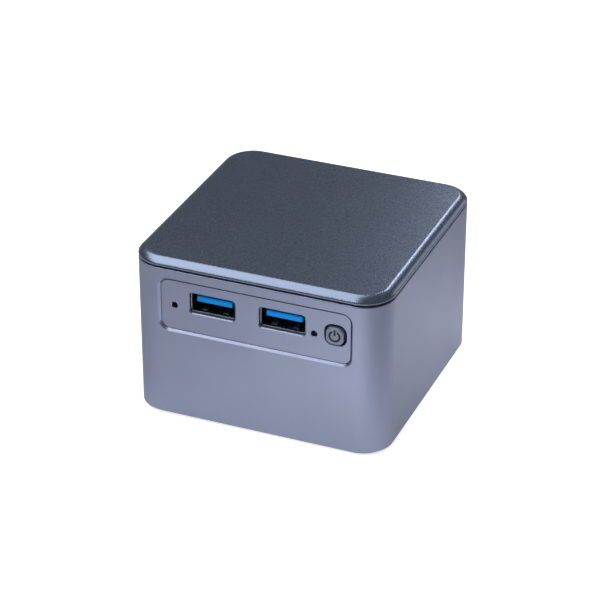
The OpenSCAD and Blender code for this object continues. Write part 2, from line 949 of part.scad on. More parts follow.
module mainboard() {
    color([0.05, 0.20, 0.12])
        difference() {
            intersection() {
                translate([0, 0, board_z])
                    slab(2 * board_x, 2 * board_y, in_r - board_gap, board_t);
                translate([-board_x, -body_d / 2 + plate_back + button_flange_t + front_edge_gap,
                           board_z - over])
                    cube([2 * board_x, body_d - 2 * plate_back - button_flange_t - 2 * front_edge_gap,
                          board_t + 2 * over]);
            }
            at_corners(post_x, post_y)
                translate([0, 0, board_z - over])
                    cylinder(r = small_screw_r + fit_gap, h = board_t + 2 * over);
            at_corners(sink_screw, sink_screw)
                translate([0, 0, board_z - over])
                    cylinder(r = small_screw_r + fit_gap, h = board_t + 2 * over);
        }
}

module hanging_screws(x, y, seat, len) {
    color([0.72, 0.73, 0.75])
        at_corners(x, y)
            translate([0, 0, seat])
                mirror([0, 0, 1])
                    screw(small_screw_r - thread_slack, len, small_head_r, small_head_t);
}

module board_screws() {
    hanging_screws(post_x, post_y, board_top, board_t + post_hole_len - 1);
}

module processor() {
    die_h = cpu_h * 0.45;
    color([0.20, 0.28, 0.24]) {
        translate([-cpu_w / 2, -cpu_d / 2, cpu_z + die_h])
            cube([cpu_w, cpu_d, cpu_h - die_h]);
        translate([-cpu_w / 4, -cpu_d / 3, cpu_z])
            cube([cpu_w / 2, cpu_d * 2 / 3, die_h]);
    }
}

module thermal_pad() {
    color([0.55, 0.57, 0.60])
        translate([-cpu_w / 4, -cpu_d / 3, cpu_z - pad_t])
            cube([cpu_w / 2, cpu_d * 2 / 3, pad_t]);
}

// Heatsink: base, fins between its four corner columns, and the columns
module heatsink() {
    half = fan_w / 2;
    fin_count = floor((fan_w - fin_t) / fin_pitch / 2) * 2 + 1;
    first = -(fin_count - 1) / 2;
    color([0.60, 0.61, 0.63])
        difference() {
            union() {
                translate([-sink_w / 2, -sink_w / 2, fin_top])
                    cube([sink_w, sink_w, sink_base_t]);
                for (i = [0 : fin_count - 1]) {
                    x = (first + i) * fin_pitch;
                    len = abs(x) + fin_t / 2 > half - sink_foot ? fan_w - 2 * sink_foot : fan_w;
                    translate([x - fin_t / 2, -len / 2, fan_top])
                        cube([fin_t, len, fin_h + sink_base_t / 2]);
                }
                at_corners(half - sink_foot / 2, half - sink_foot / 2)
                    translate([-sink_foot / 2, -sink_foot / 2, fan_top])
                        cube([sink_foot, sink_foot, fin_h + sink_base_t / 2]);
            }
            at_corners(sink_screw, sink_screw)
                translate([0, 0, sink_top - sink_thread_len - over])
                    cylinder(r = small_screw_r, h = sink_thread_len + 2 * over);
            at_corners(fan_screw, fan_screw)
                translate([0, 0, fan_top - over])
                    cylinder(r = small_screw_r, h = sink_thread_len + 2 * over);
        }
}

standoff_r = 2.1;

module heatsink_standoffs() {
    color([0.78, 0.62, 0.30])
        at_corners(sink_screw, sink_screw)
            translate([0, 0, sink_top])
                difference() {
                    cylinder(r = standoff_r, h = board_z - sink_top);
                    translate([0, 0, -over])
                        cylinder(r = small_screw_r + fit_gap, h = board_z - sink_top + 2 * over);
                }
}

module heatsink_screws() {
    hanging_screws(sink_screw, sink_screw, board_top, board_top - sink_top + sink_thread_len);
}

// Fan, blowing up into the fins: its hub plate is at the top
hub_plate_z = fan_top - fan_plate_t;
bush_r = shaft_r + run_gap + bush_wall;
rotor_z = fan_z + rotor_gap;
rotor_h = hub_plate_z - rotor_gap - rotor_z;

module fan_frame() {
    strut_w = 1.6;
    color([0.10, 0.10, 0.11])
        difference() {
            union() {
                difference() {
                    translate([0, 0, fan_z])
                        slab(fan_w, fan_w, 2.5, fan_t);
                    translate([0, 0, fan_z - over])
                        cylinder(r = fan_bore_r, h = fan_t + 2 * over, $fn = 96);
                }
                translate([0, 0, hub_plate_z])
                    cylinder(r = hub_r - 0.5, h = fan_plate_t);
                for (turn = [45 : 90 : 315])
                    rotate([0, 0, turn])
                        translate([hub_r - 2, -strut_w / 2, hub_plate_z])
                            cube([fan_bore_r - hub_r + 2.6, strut_w, fan_plate_t]);
            }
            translate([0, 0, fan_z - over])
                cylinder(r = bush_r, h = fan_t + 2 * over);
            at_corners(fan_screw, fan_screw)
                translate([0, 0, fan_z - over])
                    cylinder(r = small_screw_r + fit_gap, h = fan_t + 2 * over);
        }
}

module fan_bush() {
    low = rotor_z + rotor_cap_t + rotor_gap;
    color([0.72, 0.55, 0.28])
        translate([0, 0, low])
            difference() {
                cylinder(r = bush_r, h = fan_top - low);
                translate([0, 0, -over])
                    cylinder(r = shaft_r + run_gap, h = fan_top - low + 2 * over);
            }
}

module fan_stator() {
    low = rotor_z + rotor_cap_t + rotor_gap;
    core_h = hub_plate_z - low;
    pole_r = hub_r - rotor_skirt_t - magnet_t - rotor_gap;
    color([0.66, 0.38, 0.16])
        translate([0, 0, low])
            difference() {
                union() {
                    cylinder(r = bush_r + 1.2, h = core_h);
                    for (turn = [0 : 90 : 270])
                        rotate([0, 0, turn]) {
                            translate([0, -1.1, core_h * 0.15])
                                cube([pole_r - 0.6, 2.2, core_h * 0.7]);
                            translate([pole_r - 1.4, -2.2, core_h * 0.1])
                                cube([1, 4.4, core_h * 0.8]);
                        }
                }
                translate([0, 0, -over])
                    cylinder(r = bush_r, h = core_h + 2 * over);
            }
}

module fan_blade() {
    reach = fan_bore_r - fan_tip_gap;
    intersection() {
        difference() {
            translate([0, 0, rotor_z + blade_inset])
                cylinder(r = reach, h = rotor_h - 2 * blade_inset, $fn = 96);
            translate([0, 0, rotor_z - over])
                cylinder(r = hub_r - 0.3, h = rotor_h + 2 * over);
        }
        translate([0, 0, rotor_z + rotor_h / 2])
            rotate([90 - blade_pitch_deg, 0, 0])
                translate([0, -blade_chord / 2, -blade_t / 2])
                    cube([reach + over, blade_chord, blade_t]);
    }
}

module fan_rotor() {
    shaft_len = fan_top - rotor_gap - rotor_z;
    color([0.13, 0.13, 0.14]) {
        difference() {
            translate([0, 0, rotor_z])
                cylinder(r = hub_r, h = rotor_h);
            translate([0, 0, rotor_z + rotor_cap_t])
                cylinder(r = hub_r - rotor_skirt_t, h = rotor_h);
        }
        translate([0, 0, rotor_z + rotor_cap_t / 2])
            cylinder(r = shaft_r, h = shaft_len - rotor_cap_t / 2);
        for (i = [0 : blade_count - 1])
            rotate([0, 0, i * 360 / blade_count])
                fan_blade();
    }
}

module rotor_magnet() {
    outer = hub_r - rotor_skirt_t;
    low = rotor_z + rotor_cap_t;
    color([0.24, 0.24, 0.26])
        translate([0, 0, low])
            difference() {
                cylinder(r = outer, h = rotor_z + rotor_h - low);
                translate([0, 0, -over])
                    cylinder(r = outer - magnet_t, h = rotor_h + 2 * over);
            }
}

module fan_screws() {
    color([0.72, 0.73, 0.75])
        at_corners(fan_screw, fan_screw)
            translate([0, 0, fan_z])
                screw(small_screw_r - thread_slack, fan_t + sink_thread_len, small_head_r,
                      small_head_t);
}

// Rear sockets
module power_inlet() {
    color([0.09, 0.09, 0.10])
        on_back(inlet_x, inlet_mid)
            difference() {
                union() {
                    translate([-inlet_w / 2, -inlet_h / 2, -plate_back - inlet_len])
                        cube([inlet_w, inlet_h, inlet_len]);
                    translate([0, 0, -plate_back - nose_root])
                        cylinder(r = inlet_r + inlet_nose_t, h = plate_back - socket_face + nose_root);
                }
                translate([0, 0, -plate_back - inlet_len + inlet_back_t])
                    cylinder(r = inlet_r, h = inlet_len + plate_back);
                translate([0, 0, -plate_back - inlet_len - over])
                    cylinder(r = inlet_pin_r, h = inlet_back_t + 2 * over);
            }
}

module inlet_pin() {
    color([0.80, 0.80, 0.80])
        on_back(inlet_x, inlet_mid)
            translate([0, 0, -plate_back - inlet_len])
                cylinder(r = inlet_pin_r,
                         h = plate_back + inlet_len - socket_face - pin_set_back);
}

module video_shell(x) {
    color([0.72, 0.73, 0.75])
        on_back(x, video_mid)
            translate([0, 0, -socket_face])
                socket_shell(video_w - 2 * socket_t, video_h - 2 * socket_t, video_r, video_len,
                             socket_t);
}

module video_tongue(x) {
    in_len = video_len - socket_t;
    in_w = video_w - 2 * socket_t;
    in_h = video_h - 2 * socket_t;
    color([0.08, 0.08, 0.09])
        on_back(x, video_mid)
            translate([0, 0, -socket_face]) {
                translate([-video_tongue_w / 2, -video_tongue_drop, -in_len])
                    cube([video_tongue_w, video_tongue_t, in_len - video_set_back]);
                translate([video_block_in - in_w / 2, -in_h / 2, -in_len])
                    cube([in_w - 2 * video_block_in, in_h, video_block_len]);
            }
}

module video_shell_1() {
    video_shell(video_x1);
}

module video_shell_2() {
    video_shell(video_x2);
}

module video_tongue_1() {
    video_tongue(video_x1);
}

module video_tongue_2() {
    video_tongue(video_x2);
}

module sound_socket() {
    color([0.10, 0.10, 0.11])
        on_back(sound_x, sound_mid)
            difference() {
                union() {
                    translate([-sound_w / 2, -sound_h / 2, -plate_back - sound_len])
                        cube([sound_w, sound_h, sound_len]);
                    translate([0, 0, -plate_back - nose_root])
                        cylinder(r = sound_nose_r, h = plate_back - socket_face + nose_root);
                }
                translate([0, 0, -socket_face - sound_bore_len])
                    cylinder(r = sound_r, h = sound_bore_len + over);
            }
}

// Drive card on its socket, standoff and screw
ssd_z = board_top + ssd_lift;
ssd_end = ssd_x + ssd_l;
ssd_standoff_r = 2;
ssd_socket_l = 6;
ssd_socket_lap = 2;
ssd_socket_roof = 0.8;
ssd_standoff_floor = 0.8;
ssd_screw_len = 2.6;
ssd_y = ssd_w / 2 + small_head_r + 0.3 - sink_screw;

module ssd_card() {
    color([0.04, 0.16, 0.10])
        translate([0, 0, ssd_z])
            difference() {
                translate([ssd_x, ssd_y - ssd_w / 2, 0])
                    cube([ssd_l, ssd_w, ssd_t]);
                translate([ssd_end, ssd_y, -over])
                    cylinder(r = small_screw_r + fit_gap, h = ssd_t + 2 * over);
            }
}

module ssd_chips() {
    chip_l = 11;
    chip_w = 13;
    chip_h = 1.1;
    color([0.09, 0.09, 0.10])
        for (start = [5, 20])
            translate([ssd_x + start, ssd_y - chip_w / 2, ssd_z + ssd_t])
                cube([chip_l, chip_w, chip_h]);
}

module ssd_socket() {
    color([0.12, 0.12, 0.13])
        difference() {
            translate([ssd_x - ssd_socket_l + ssd_socket_lap, ssd_y - ssd_w / 2, board_top])
                cube([ssd_socket_l, ssd_w, ssd_lift + ssd_t + ssd_socket_roof]);
            translate([ssd_x, ssd_y - ssd_w / 2 - over, ssd_z])
                cube([ssd_socket_l, ssd_w + 2 * over, ssd_t]);
        }
}

module ssd_standoff() {
    color([0.78, 0.62, 0.30])
        translate([ssd_end, ssd_y, board_top])
            difference() {
                cylinder(r = ssd_standoff_r, h = ssd_lift);
                translate([0, 0, ssd_standoff_floor])
                    cylinder(r = small_screw_r, h = ssd_lift);
            }
}

module ssd_screw() {
    color([0.72, 0.73, 0.75])
        translate([ssd_end, ssd_y, ssd_z + ssd_t])
            mirror([0, 0, 1])
                screw(small_screw_r - thread_slack, ssd_screw_len, small_head_r, small_head_t);
}

// Radio module, its two aerials and their leads
wifi_w = 14;
wifi_d = 11;
wifi_h = 2.2;
head_clear = 0.6;                           // free space beside a heatsink screw's head
wifi_x = small_head_r + head_clear + wifi_w / 2 - sink_screw;
wifi_gap = 1.5;
wifi_y = ssd_y + ssd_w / 2 + wifi_gap + wifi_d / 2;
aerial_w = 26;
aerial_h = 6;
aerial_t = 0.4;
hook_clear = 0.8;
aerial_z = shell_top - hook_drop - hook_clear - aerial_h;
lead_r = 0.45;
radio_board_t = 0.8;
radio_can_in = 1;
radio_plug_w = 3;

module wifi_module() {
    color([0.66, 0.68, 0.70])
        translate([wifi_x - wifi_w / 2, wifi_y - wifi_d / 2, board_top]) {
            cube([wifi_w, wifi_d, radio_board_t]);
            translate([radio_can_in, radio_can_in, radio_board_t])
                cube([wifi_w - 2 * radio_can_in - radio_plug_w, wifi_d - 2 * radio_can_in,
                      wifi_h - radio_board_t]);
        }
}

module antenna(side) {
    x = side * in_x;
    color([0.16, 0.15, 0.12])
        translate([side < 0 ? x : x - aerial_t, -aerial_w / 2, aerial_z])
            cube([aerial_t, aerial_w, aerial_h]);
}

module antenna_left() {
    antenna(-1);
}

module antenna_right() {
    antenna(1);
}

// A round lead through a list of points, with a ball at each bend
module lead(points, r) {
    for (i = [0 : len(points) - 2]) {
        d = points[i + 1] - points[i];
        translate(points[i])
            rotate([0, acos(d[2] / norm(d)), atan2(d[1], d[0])])
                cylinder(r = r, h = norm(d), $fn = 24);
    }
    for (i = [1 : len(points) - 2])
        translate(points[i])
            sphere(r * 1.25, $fn = 24);
}

module antenna_cables() {
    plug_z = board_top + radio_board_t + lead_r;
    run_z = aerial_z + aerial_h / 2;
    wall_gap = aerial_t + lead_r + run_gap;
    plug_x = wifi_x + (wifi_w - radio_plug_w) / 2;
    color([0.08, 0.08, 0.09]) {
        lead([[plug_x, wifi_y + 3, plug_z], [plug_x, wifi_y + 3, run_z],
              [wifi_x - wifi_w / 2 - 4, wifi_y + 3, run_z], [-in_x + wall_gap, wifi_y - 3, run_z],
              [-in_x + wall_gap, aerial_w / 4, run_z]], lead_r);
        lead([[plug_x, wifi_y - 3, plug_z], [plug_x, wifi_y - 3, run_z + 2],
              [in_x - 6, wifi_y - 3, run_z + 2], [in_x - wall_gap, wifi_y - 5, run_z],
              [in_x - wall_gap, aerial_w / 4, run_z]], lead_r);
    }
}

module memory_chips() {
    chip_w = 8;
    chip_d = 11;
    chip_h = 1;
    color([0.09, 0.09, 0.10])
        for (sx = [-1, 1], sy = [-1, 1])
            translate([sx * (cpu_w / 2 + 1 + chip_w / 2) - chip_w / 2, sy * 6.5 - chip_d / 2,
                       board_z - chip_h])
                cube([chip_w, chip_d, chip_h]);
}

module inductors() {
    color([0.22, 0.22, 0.24])
        for (i = [0 : 2])
            translate([-board_x + 1.5, -16 + i * 7, board_top])
                slab_on_corner(5, 5, 0.8, 3);
}

module slab_on_corner(w, d, r, h) {
    translate([w / 2, d / 2, 0])
        slab(w, d, r, h);
}

module capacitors() {
    can_r = 2.1;
    color([0.75, 0.76, 0.78])
        for (i = [0 : 2])
            translate([board_x - 4, -14 + i * 5.5, board_top])
                cylinder(r = can_r, h = 5);
}

// Clock battery in its clip
battery_r = 6.2;
battery_h = 2;
battery_x = sink_screw - small_head_r - head_clear - battery_r;
battery_gap = 1.2;
battery_y = ssd_y + ssd_w / 2 + battery_gap + battery_r;
clip_t = 0.6;
clip_gap = 0.35;
clip_arm_t = 0.4;

module clock_battery() {
    color([0.80, 0.81, 0.82])
        translate([battery_x, battery_y, board_top + clip_t])
            cylinder(r = battery_r, h = battery_h);
}

module battery_clip() {
    clip_w = 4;
    color([0.70, 0.66, 0.50]) {
        translate([battery_x - clip_w / 2, battery_y - battery_r - clip_t, board_top])
            cube([clip_w, 2 * (battery_r + clip_t), clip_t]);
        for (side = [-1, 1])
            translate([battery_x - clip_w / 2,
                       battery_y + side * (battery_r + clip_gap) - clip_arm_t / 2, board_top])
                cube([clip_w, clip_arm_t, battery_h + clip_t + clip_arm_t]);
    }
}

module fan_header() {
    color([0.88, 0.86, 0.80])
        translate([sink_w / 2 + 3, 10, board_z - 4.2])
            cube([4, 6, 4.2]);
}

outer_shell();
top_lid();
bottom_cover();
rubber_feet();
bottom_screws();
threaded_inserts();
front_io_plate();
rear_io_plate();
usb_shell_left();
usb_shell_right();
usb_tongue_left();
usb_tongue_right();
usb_contacts_left();
usb_contacts_right();
power_button();
power_mark();
power_switch_body();
power_switch_plunger();
reset_switch_body();
reset_switch_plunger();
status_led();
light_pipe();
mainboard();
board_screws();
processor();
thermal_pad();
heatsink();
heatsink_standoffs();
heatsink_screws();
fan_frame();
fan_bush();
fan_stator();
fan_rotor();
rotor_magnet();
fan_screws();
power_inlet();
inlet_pin();
video_shell_1();
video_shell_2();
video_tongue_1();
video_tongue_2();
sound_socket();
ssd_card();
ssd_chips();
ssd_socket();
ssd_standoff();
ssd_screw();
wifi_module();
antenna_left();
antenna_right();
antenna_cables();
memory_chips();
inductors();
capacitors();
clock_battery();
battery_clip();
fan_header();
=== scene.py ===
"""Looks of a palm-size mini pc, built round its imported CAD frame. All lengths are in metres."""

import json
import math

import bmesh
import bpy
from mathutils import Matrix, Vector

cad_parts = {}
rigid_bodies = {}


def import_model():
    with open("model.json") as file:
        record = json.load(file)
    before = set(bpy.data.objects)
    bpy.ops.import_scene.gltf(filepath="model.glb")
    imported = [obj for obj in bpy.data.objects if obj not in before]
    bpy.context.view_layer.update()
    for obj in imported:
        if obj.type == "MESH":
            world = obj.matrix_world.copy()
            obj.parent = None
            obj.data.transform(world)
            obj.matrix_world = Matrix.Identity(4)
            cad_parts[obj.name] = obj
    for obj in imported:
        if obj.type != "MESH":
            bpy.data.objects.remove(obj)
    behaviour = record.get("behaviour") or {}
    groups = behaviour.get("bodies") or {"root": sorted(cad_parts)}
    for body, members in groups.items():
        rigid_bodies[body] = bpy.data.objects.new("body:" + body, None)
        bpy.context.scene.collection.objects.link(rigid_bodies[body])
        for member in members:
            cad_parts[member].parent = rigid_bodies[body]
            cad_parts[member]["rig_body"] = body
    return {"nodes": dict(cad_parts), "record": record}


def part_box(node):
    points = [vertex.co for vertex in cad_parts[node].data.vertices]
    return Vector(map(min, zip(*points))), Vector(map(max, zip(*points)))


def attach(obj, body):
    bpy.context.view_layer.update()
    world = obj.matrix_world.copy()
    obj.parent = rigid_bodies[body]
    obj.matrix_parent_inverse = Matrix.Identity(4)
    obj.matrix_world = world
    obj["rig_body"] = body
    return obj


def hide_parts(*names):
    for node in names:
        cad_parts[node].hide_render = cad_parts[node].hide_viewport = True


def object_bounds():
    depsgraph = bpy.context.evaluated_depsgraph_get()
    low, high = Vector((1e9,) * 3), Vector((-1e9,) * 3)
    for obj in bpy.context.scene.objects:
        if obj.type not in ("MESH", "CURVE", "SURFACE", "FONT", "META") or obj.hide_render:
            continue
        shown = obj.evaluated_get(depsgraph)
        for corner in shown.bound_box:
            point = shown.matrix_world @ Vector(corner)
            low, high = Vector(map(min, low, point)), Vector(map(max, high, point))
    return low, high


MM = 0.001

for leftover in list(bpy.data.objects):
    bpy.data.objects.remove(leftover)
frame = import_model()
cad_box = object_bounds()

# Half the housing's width, and how far from its middle the sockets' mouths are
HALF_W = cad_box[1][0]
MOUTH_Y = -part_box("usb_shell_left")[0][1]


# ------------------------------------------------------------- shader helpers

# Where a Mix node has its factor, its two inputs and its output, for each kind of value
MIX_SOCKETS = {"FLOAT": (0, 2, 3, 0), "RGBA": (0, 6, 7, 2)}


def linear(rgb):
    """A colour written in sRGB, 0 to 255, as the linear values that shaders take."""
    channels = [c / 255 for c in rgb]
    out = [c / 12.92 if c <= 0.04045 else ((c + 0.055) / 1.055) ** 2.4 for c in channels]
    return (*out, 1.0)


def shade(rgb, factor):
    """The same colour, lighter or darker."""
    return tuple(min(1.0, c * factor) for c in linear(rgb)[:3]) + (1.0,)


class Tree:
    """A small wrapper that adds and links the nodes of one material."""

    def __init__(self, name):
        self.material = bpy.data.materials.new(name)
        self.material.use_nodes = True
        self.nodes = self.material.node_tree.nodes
        self.links = self.material.node_tree.links
        self.shader = self.nodes["Principled BSDF"]
        self.place = self.add("ShaderNodeTexCoord").outputs["Object"]

    def add(self, kind, **settings):
        """A new node with these settings."""
        node = self.nodes.new(kind)
        for key, value in settings.items():
            setattr(node, key, value)
        return node

    def put(self, socket, value):
        """Links another node's output to a socket, or sets the socket to a constant."""
        if isinstance(value, bpy.types.NodeSocket):
            self.links.new(value, socket)
        else:
            socket.default_value = value

    def surface(self, **inputs):
        """Fills inputs of the surface shader, whose names are written with _ for a space."""
        for key, value in inputs.items():
            self.put(self.shader.inputs[key.replace("_", " ")], value)

    def noise(self, size, detail=2.0, stretch=(1, 1, 1), seed=0.0):
        """Cloudy noise whose features are about size across; stretch draws it out along an axis."""
        mapping = self.add("ShaderNodeMapping")
        mapping.inputs["Location"].default_value = (seed, seed * 2, seed * 3)
        mapping.inputs["Scale"].default_value = [1 / s for s in stretch]
        self.links.new(self.place, mapping.inputs["Vector"])
        node = self.add("ShaderNodeTexNoise")
        node.inputs["Scale"].default_value = 1 / size
        node.inputs["Detail"].default_value = detail
        self.links.new(mapping.outputs["Vector"], node.inputs["Vector"])
        return node.outputs["Fac"]

    def span(self, value, low, high, start=0.3, end=0.7):
        """Low where value is at start, high where it is at end. Noise is mostly from 0.3 to 0.7."""
        node = self.add("ShaderNodeMapRange")
        self.put(node.inputs["Value"], value)
        node.inputs["From Min"].default_value = start
        node.inputs["From Max"].default_value = end
        node.inputs["To Min"].default_value = low
        node.inputs["To Max"].default_value = high
        return node.outputs["Result"]

    def calc(self, operation, *values):
        """The result of a Math node."""
        node = self.add("ShaderNodeMath", operation=operation)
        for socket, value in zip(node.inputs, values):
            self.put(socket, value)
        return node.outputs[0]

    def split(self):
        """The x, y and z of the place on the object."""
        node = self.add("ShaderNodeSeparateXYZ")
        self.links.new(self.place, node.inputs[0])
        return node.outputs

    def mix(self, factor, a, b, kind="RGBA"):
        """A, which turns into b as factor goes from 0 to 1."""
        at_factor, at_a, at_b, at_result = MIX_SOCKETS[kind]
        node = self.add("ShaderNodeMix", data_type=kind)
        self.put(node.inputs[at_factor], factor)
        self.put(node.inputs[at_a], a)
        self.put(node.inputs[at_b], b)
        return node.outputs[at_result]

    def bump(self, height, depth, below=None):
        """A relief of this depth, on top of another relief if one is given."""
        node = self.add("ShaderNodeBump")
        node.inputs["Distance"].default_value = depth
        self.put(node.inputs["Height"], height)
        if below is not None:
            self.links.new(below, node.inputs["Normal"])
        return node.outputs["Normal"]


# ------------------------------------------------------------------ materials

# How far a worked surface's roughness strays to each side of its stated value
ROUGH_VARY = 0.05


def finish(name, rgb, rough, metallic=0.0, vary=0.08, grain=0.12 * MM, depth=0.004 * MM,
           stretch=(1, 1, 1), specular=0.5):
    """A surface whose colour, gloss and relief vary a little at two scales."""
    t = Tree(name)
    blotch = 6 * MM
    fine = t.noise(grain, stretch=stretch)
    broad = t.noise(blotch, 3.0, stretch, seed=0.31)
    cloud = t.mix(t.span(broad, 0, 1), shade(rgb, 1 - vary / 2), shade(rgb, 1 + vary / 2))
    t.surface(Base_Color=t.mix(t.span(fine, 0, 0.5), cloud, shade(rgb, 1 - vary)),
              Roughness=t.span(broad, rough - ROUGH_VARY, rough + ROUGH_VARY),
              Normal=t.bump(fine, depth), Metallic=metallic, Specular_IOR_Level=specular)
    return t.material


def blasted(name, rgb, rough, sparkle, relief, edge):
    """Fine blasted and dyed metal, or a metallic coat like it: grains that glint in the light.

    Sparkle is how much the grains differ in colour, relief their height, and edge how much of the
    light a face seen along its surface gives back.
    """
    t = Tree(name)
    dust_depth = 0.003 * MM
    grains = t.noise(0.3 * MM, 1.0)
    dust = t.noise(0.09 * MM, seed=0.7)
    cloud = t.noise(14 * MM, seed=0.2)
    base = t.mix(t.span(cloud, 0, 1), shade(rgb, 0.97), shade(rgb, 1.03))
    flakes = t.mix(t.span(grains, 0, sparkle, 0.45, 0.8), base, shade(rgb, 1.5))
    pits = t.mix(t.span(dust, 0, sparkle * 0.3, 0.4, 0.7), flakes, shade(rgb, 0.75))
    t.surface(Base_Color=pits, Roughness=t.span(grains, rough - ROUGH_VARY, rough + ROUGH_VARY),
              Normal=t.bump(dust, dust_depth, t.bump(grains, relief)), Metallic=1.0,
              Specular_Tint=(edge, edge, edge, 1))
    return t.material


def socket_metal(name, rgb, rough):
    """Drawn steel with faint lengthwise lines, darkened by painted shade away from the sockets' mouths.
    """
    t = Tree(name)
    # Colour of the painted shade deep inside the sockets; it fades out between 1.8 mm and 0.4 mm behind
    # the mouth
    painted_shade_rgb = (112, 106, 98)
    full_shade_at = MOUTH_Y - 1.8 * MM
    shade_free_at = MOUTH_Y - 0.4 * MM
    lines = t.noise(0.1 * MM, stretch=(1, 10, 1))
    broad = t.noise(2 * MM, seed=0.4)
    from_middle = t.calc("ABSOLUTE", t.split()["Y"])
    steel = t.mix(t.span(lines, 0, 1), shade(rgb, 0.85), linear(rgb))
    # Painted shade: plain steel near the mouths, turning into the shade colour deeper in
    shade_free_mask = t.span(from_middle, 0, 1, full_shade_at, shade_free_at)
    t.surface(Base_Color=t.mix(shade_free_mask, linear(painted_shade_rgb), steel),
              Roughness=t.span(broad, rough - ROUGH_VARY, rough + ROUGH_VARY),
              Normal=t.bump(lines, 0.002 * MM), Metallic=1.0)
    return t.material


def circuit_board(name):
    """Green solder mask with faint copper tracks under it."""
    t = Tree(name)
    mask = (14, 70, 46)
    track = (44, 112, 70)
    track_pitch = 4 * MM
    tracks = t.add("ShaderNodeTexBrick", offset=0.37, squash=0.6, squash_frequency=3)
    tracks.inputs["Scale"].default_value = 1 / track_pitch
    tracks.inputs["Mortar Size"].default_value = 0.03
    t.links.new(t.place, tracks.inputs["Vector"])
    line = tracks.outputs["Fac"]
    t.surface(Base_Color=t.mix(line, linear(mask), linear(track)),
              Roughness=t.span(t.noise(3 * MM), 0.3, 0.45), Normal=t.bump(line, 0.02 * MM))
    return t.material


ANODISED = (144, 151, 176)
COATED_LID = (118, 129, 150)
BUTTON_GREY = (124, 133, 152)
DEEP_BLUE = (34, 39, 56)
DARK_GREY = (40, 42, 46)
PALE_METAL = (182, 184, 188)
TONGUE_BLUE = (0, 156, 246)

MATERIALS = {
    "shell_metal": lambda n: blasted(n, ANODISED, 0.34, sparkle=0.14, relief=0.05 * MM, edge=0.72),
    "lid_metallic": lambda n: blasted(n, COATED_LID, 0.27, sparkle=0.5, relief=0.02 * MM, edge=1.0),
    "plate_metallic": lambda n: blasted(n, ANODISED, 0.36, sparkle=0.14, relief=0.05 * MM, edge=0.72),
    "rear_plastic": lambda n: finish(n, DARK_GREY, 0.55, grain=0.35 * MM, depth=0.02 * MM),
    "cover_plastic": lambda n: finish(n, DARK_GREY, 0.55, grain=0.35 * MM, depth=0.02 * MM),
    "foot_rubber": lambda n: finish(n, (24, 24, 26), 0.8, grain=0.2 * MM, depth=0.02 * MM),
    "button_plastic": lambda n: finish(n, BUTTON_GREY, 0.42, metallic=0.6, grain=0.15 * MM),
    "mark_ink": lambda n: finish(n, DEEP_BLUE, 0.7, specular=0.2),
    "black_screw": lambda n: finish(n, (30, 30, 32), 0.35, metallic=0.9, grain=0.08 * MM),
    "steel_screw": lambda n: finish(n, (190, 192, 196), 0.3, metallic=1.0, grain=0.08 * MM),
    "brass_turned": lambda n: finish(n, (206, 168, 92), 0.28, metallic=1.0, stretch=(1, 1, 8)),
    "socket_steel": lambda n: socket_metal(n, (172, 174, 178), 0.28),
    "tongue_blue": lambda n: finish(n, TONGUE_BLUE, 0.5, vary=0.2, grain=0.35 * MM,
                                    stretch=(30, 1, 1), specular=0.2),
    "contact_gold": lambda n: finish(n, (226, 184, 96), 0.25, metallic=1.0, stretch=(1, 8, 1)),
    "black_plastic": lambda n: finish(n, (26, 26, 28), 0.45, grain=0.2 * MM, depth=0.006 * MM),
    "pale_plastic": lambda n: finish(n, (216, 210, 194), 0.5, grain=0.2 * MM),
    "clear_plastic": lambda n: finish(n, (26, 28, 32), 0.2, grain=0.3 * MM, depth=0.001 * MM),
    "lamp_resin": lambda n: finish(n, (222, 224, 208), 0.2, grain=0.3 * MM),
    "board_laminate": circuit_board,
    "chip_resin": lambda n: finish(n, (34, 34, 37), 0.5, depth=0.008 * MM),
    "die_substrate": lambda n: finish(n, (58, 92, 66), 0.35, grain=0.3 * MM),
    "pad_silicone": lambda n: finish(n, (146, 152, 162), 0.7, grain=0.3 * MM, depth=0.02 * MM),
    "sink_aluminium": lambda n: finish(n, PALE_METAL, 0.34, metallic=1.0, stretch=(1, 12, 1)),
    "copper_winding": lambda n: finish(n, (184, 104, 58), 0.3, metallic=0.8, grain=0.25 * MM,
                                       depth=0.05 * MM, stretch=(1, 1, 0.5)),
    "magnet_ferrite": lambda n: finish(n, (52, 52, 54), 0.6, grain=0.15 * MM, depth=0.01 * MM),
    "can_tin": lambda n: finish(n, PALE_METAL, 0.3, metallic=1.0, grain=0.4 * MM),
    "aerial_film": lambda n: finish(n, (50, 46, 38), 0.4, grain=0.5 * MM),
    "lead_sheath": lambda n: finish(n, (22, 22, 24), 0.5, grain=0.2 * MM),
    "ferrite_block": lambda n: finish(n, (60, 60, 64), 0.6, grain=0.15 * MM, depth=0.01 * MM),
}

slot_of = {row["node"]: row["material_slot"] for row in frame["record"]["subparts"]}
made = {slot: make(slot) for slot, make in MATERIALS.items()}


# --------------------------------------------------------------------- pieces

def add_piece(name, mesh, body, slot, nodes=()):
    """Links a finished mesh as a piece that rides on a body and stands for CAD nodes."""
    piece = bpy.data.objects.new(name, mesh)
    bpy.context.scene.collection.objects.link(piece)
    piece.data.materials.clear()
    piece.data.materials.append(made[slot])
    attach(piece, body)
    if nodes:
        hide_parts(*nodes)
    return piece


def round_edges(obj, width, angle=28):
    """Rounds the edges that turn by more than angle degrees, and shades the piece smooth."""
    for polygon in obj.data.polygons:
        polygon.use_smooth = True
    bevel = obj.modifiers.new("edges", "BEVEL")
    bevel.width = width
    bevel.segments = 2
    bevel.limit_method = "ANGLE"
    bevel.angle_limit = math.radians(angle)
    bevel.use_clamp_overlap = True
    normals = obj.modifiers.new("normals", "WEIGHTED_NORMAL")
    normals.weight = 100
    normals.keep_sharp = True
    bpy.context.view_layer.update()
    graph = bpy.context.evaluated_depsgraph_get()
    rounded = bpy.data.meshes.new_from_object(obj.evaluated_get(graph))
    obj.modifiers.clear()
    obj.data = rounded


